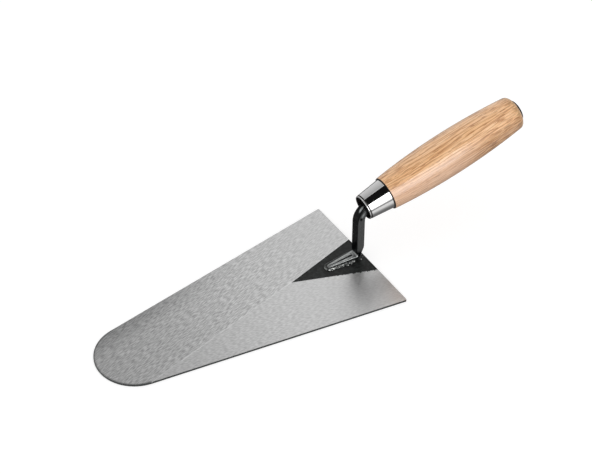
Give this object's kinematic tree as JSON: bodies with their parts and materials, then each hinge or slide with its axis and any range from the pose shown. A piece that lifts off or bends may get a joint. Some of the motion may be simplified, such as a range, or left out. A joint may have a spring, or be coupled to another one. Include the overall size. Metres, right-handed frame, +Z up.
{
  "type": "masonry trowel",
  "caption": "Round-nosed trowel: flat ground steel blade, forged crank welded on by a fullered tongue, conical chromed ferrule and barrel-shaped wooden handle with a domed butt cap.",
  "frame": {"origin": "middle of the blade's flat underside, halfway between the heel edge and the tip of the nose", "axes": "+X along the blade to its nose, +Z up through the blade's top face, +Y to the left seen from the handle; the handle rises over -X"},
  "size_m": [0.2922, 0.0948, 0.073],
  "materials": {
    "ground_steel": "ground in short strokes; the land at the heel and the heel edge are black lacquered",
    "black_lacquer": "thin satin black lacquer over forging scale, worn bright on the tongue's ridges",
    "weld_metal": "rough bare weld metal",
    "chrome_plate": "polished chrome plate",
    "lacquered_beech": "turned beech under clear satin lacquer, grain along the handle",
    "cap_steel": "polished plated steel"
  },
  "bodies": {
    "root": {"blade": "ground_steel", "shank": "black_lacquer", "weld_bead": "weld_metal", "ferrule": "chrome_plate", "handle": "lacquered_beech", "butt_cap": "cap_steel"}
  },
  "joints": []
}
